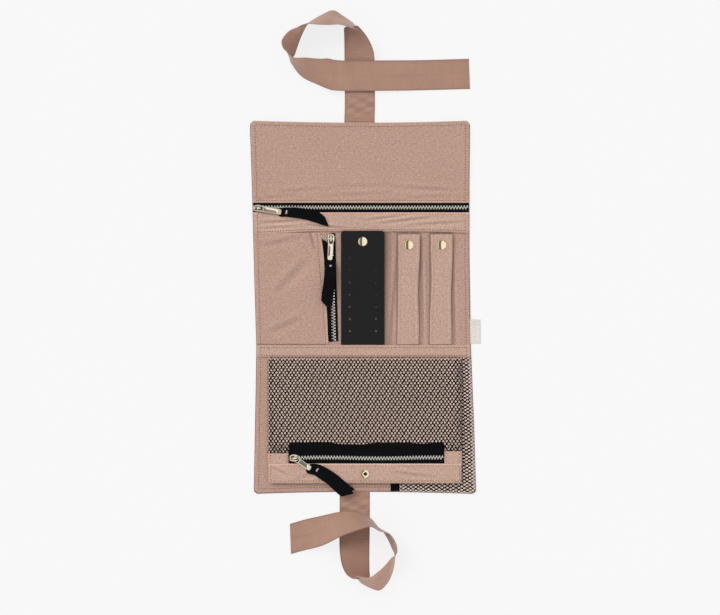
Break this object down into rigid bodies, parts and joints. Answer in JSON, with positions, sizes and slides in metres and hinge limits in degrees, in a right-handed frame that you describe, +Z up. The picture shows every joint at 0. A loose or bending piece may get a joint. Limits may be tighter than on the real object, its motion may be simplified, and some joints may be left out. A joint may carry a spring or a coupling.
{
  "type": "jewelry pouch",
  "caption": "Fold-up fabric jewelry pouch lying open: zipped flap pocket, side pocket, punched earring panel, snap ring straps, zipped net pouch, net slip pocket and ribbon ties.",
  "frame": {"origin": "middle of the middle panel, on the underside of its outer shell, where it lies on the table", "axes": "+X to the right across the case, +Y along the case towards the top flap, +Z up from the table"},
  "size_m": [0.1918, 0.4883, 0.0267],
  "materials": {
    "lining_canvas": "dusty-pink plain-weave canvas, matt",
    "tie_ribbon": "dusty-pink grosgrain ribbon, matt",
    "shell_canvas": "dark grey canvas, matt",
    "wadding": "soft white wadding",
    "black_tape": "black woven polyester tape",
    "black_net": "black knitted net",
    "label_tape": "cream cotton tape, blank",
    "leatherette": "black leatherette, fine grain, low sheen",
    "tooth_metal": "polished silver-coloured metal",
    "gold_metal": "polished pale-gold plated metal"
  },
  "bodies": {
    "middle_panel": {"middle_shell": "shell_canvas", "middle_padding": "wadding", "middle_lining": "lining_canvas", "middle_fold_strip": "lining_canvas", "middle_band": "lining_canvas", "side_pocket_front": "lining_canvas", "side_zip_tape_upper": "black_tape", "side_zip_tape_lower": "black_tape", "side_zip_teeth_upper": "tooth_metal", "side_zip_teeth_lower": "tooth_metal", "earring_snap_stud": "tooth_metal", "inner_ring_snap_stud": "tooth_metal", "outer_ring_snap_stud": "tooth_metal", "side_label": "label_tape"},
    "top_flap": {"flap_shell": "shell_canvas", "flap_padding": "wadding", "flap_lining": "lining_canvas", "flap_pocket_front": "lining_canvas", "flap_fold_strip": "lining_canvas", "flap_zip_tape_upper": "black_tape", "flap_zip_tape_lower": "black_tape", "flap_zip_teeth_upper": "tooth_metal", "flap_zip_teeth_lower": "tooth_metal"},
    "bottom_panel": {"bottom_shell": "shell_canvas", "bottom_padding": "wadding", "bottom_lining": "lining_canvas", "bottom_band": "lining_canvas", "slip_pocket_binding": "black_tape", "slip_pocket_net": "black_net", "pouch_snap_stud": "tooth_metal"},
    "flap_zip_slider": {"flap_zip_slider": "gold_metal"},
    "flap_zip_pull": {"flap_zip_pull": "gold_metal", "flap_zip_puller": "black_tape"},
    "side_zip_slider": {"side_zip_slider": "gold_metal"},
    "side_zip_pull": {"side_zip_pull": "gold_metal", "side_zip_puller": "black_tape"},
    "earring_panel": {"earring_panel": "leatherette", "earring_snap_cap": "gold_metal", "earring_snap_socket": "tooth_metal"},
    "inner_ring_strap": {"inner_ring_strap": "lining_canvas", "inner_ring_snap_cap": "gold_metal", "inner_ring_snap_socket": "tooth_metal"},
    "outer_ring_strap": {"outer_ring_strap": "lining_canvas", "outer_ring_snap_cap": "gold_metal", "outer_ring_snap_socket": "tooth_metal"},
    "net_pouch": {"pouch_back": "lining_canvas", "pouch_net": "black_net", "pouch_trim": "lining_canvas", "pouch_zip_tape_upper": "black_tape", "pouch_zip_tape_lower": "black_tape", "pouch_zip_teeth_upper": "tooth_metal", "pouch_zip_teeth_lower": "tooth_metal", "pouch_snap_ring": "gold_metal", "pouch_snap_socket": "tooth_metal"},
    "pouch_zip_slider": {"pouch_zip_slider": "gold_metal"},
    "pouch_zip_pull": {"pouch_zip_pull": "gold_metal", "pouch_zip_puller": "black_tape"},
    "top_tie": {"top_tie": "tie_ribbon"},
    "bottom_tie": {"bottom_tie": "tie_ribbon"}
  },
  "joints": [
    {"name": "flap_fold", "type": "hinge", "parent": "middle_panel", "child": "top_flap", "pos_m": [0, 0.053, 0.0071], "axis": [1, 0, 0], "range_deg": [0, 180]},
    {"name": "bottom_fold", "type": "hinge", "parent": "middle_panel", "child": "bottom_panel", "pos_m": [0, -0.053, 0.012], "axis": [-1, 0, 0], "range_deg": [0, 180], "deforming": ["top_tie", "bottom_tie"]},
    {"name": "top_tie_droop", "type": "hinge", "parent": "top_flap", "child": "top_tie", "pos_m": [0, 0.141, 0], "axis": [1, 0, 0], "range_deg": [-180, 0]},
    {"name": "bottom_tie_droop", "type": "hinge", "parent": "bottom_panel", "child": "bottom_tie", "pos_m": [0, -0.173, 0], "axis": [-1, 0, 0], "range_deg": [-180, 0]},
    {"name": "flap_zip_slide", "type": "slide", "parent": "top_flap", "child": "flap_zip_slider", "axis": [-1, 0, 0], "range_m": [-0.168, 0]},
    {"name": "flap_zip_pull_tip", "type": "hinge", "parent": "flap_zip_slider", "child": "flap_zip_pull", "pos_m": [-0.0875, 0.0669, 0.00515], "axis": [0.1736, 0.9848, 0], "range_deg": [-110, 0]},
    {"name": "side_zip_slide", "type": "slide", "parent": "middle_panel", "child": "side_zip_slider", "axis": [-0.0506, 0.9987, 0], "range_m": [-0.079, 0]},
    {"name": "side_zip_pull_tip", "type": "hinge", "parent": "side_zip_slider", "child": "side_zip_pull", "pos_m": [-0.02601, 0.0415, 0.00515], "axis": [0.9985, -0.0541, 0], "range_deg": [-110, 0]},
    {"name": "earring_panel_lift", "type": "hinge", "parent": "middle_panel", "child": "earring_panel", "pos_m": [0, -0.0475, 0.0035], "axis": [-1, 0, 0], "range_deg": [-100, 0]},
    {"name": "inner_ring_strap_lift", "type": "hinge", "parent": "middle_panel", "child": "inner_ring_strap", "pos_m": [0, -0.0475, 0.0035], "axis": [-1, 0, 0], "range_deg": [-100, 0]},
    {"name": "outer_ring_strap_lift", "type": "hinge", "parent": "middle_panel", "child": "outer_ring_strap", "pos_m": [0, -0.0475, 0.0035], "axis": [-1, 0, 0], "range_deg": [-100, 0]},
    {"name": "net_pouch_lift", "type": "hinge", "parent": "bottom_panel", "child": "net_pouch", "pos_m": [0, -0.0585, 0.00515], "axis": [1, 0, 0], "range_deg": [-70, 0]},
    {"name": "pouch_zip_slide", "type": "slide", "parent": "net_pouch", "child": "pouch_zip_slider", "axis": [1, 0, 0], "range_m": [0, 0.118]},
    {"name": "pouch_zip_pull_tip", "type": "hinge", "parent": "pouch_zip_slider", "child": "pouch_zip_pull", "pos_m": [-0.057, -0.14245, 0.00753], "axis": [0.5446, 0.8386, -0.0108], "range_deg": [-110, 0]}
  ],
  "couplings": [
    {"joint": "top_tie_droop", "follows": "flap_fold", "ratio": -1},
    {"joint": "bottom_tie_droop", "follows": "bottom_fold", "ratio": -1}
  ]
}
